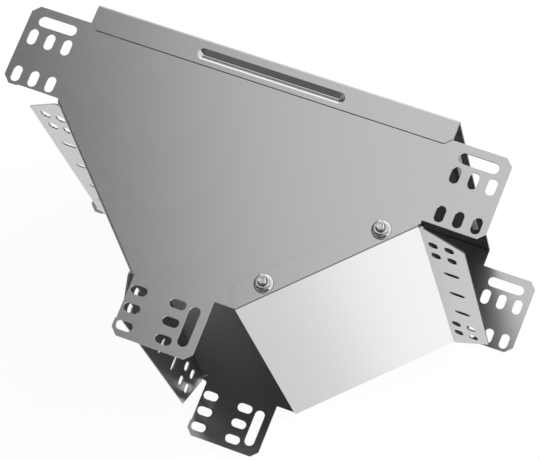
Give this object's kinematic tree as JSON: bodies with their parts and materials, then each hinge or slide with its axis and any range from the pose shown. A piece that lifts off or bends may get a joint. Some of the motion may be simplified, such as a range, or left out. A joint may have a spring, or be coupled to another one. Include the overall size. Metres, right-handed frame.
{
  "type": "cable tray tee",
  "caption": "Vertical cable tray tee: folded body with slotted coupling lugs and end flanges, bolted corner plate and clip-on back plate.",
  "frame": {"origin": "bottom centre of the bounding box, the tee lying on its lower side plate", "axes": "+X along the run, -Y along the branch, +Y the closed open-side of the run, +Z square to the two side plates"},
  "size_m": [0.3724, 0.2258, 0.323],
  "materials": {
    "zinc_sheet": "satin zinc-coated sheet",
    "zinc_fastener": "bright zinc-plated"
  },
  "bodies": {
    "root": {"tee_body": "zinc_sheet", "corner_plate": "zinc_sheet", "back_plate": "zinc_sheet", "corner_bolts": "zinc_fastener", "corner_nuts": "zinc_fastener"}
  },
  "joints": []
}
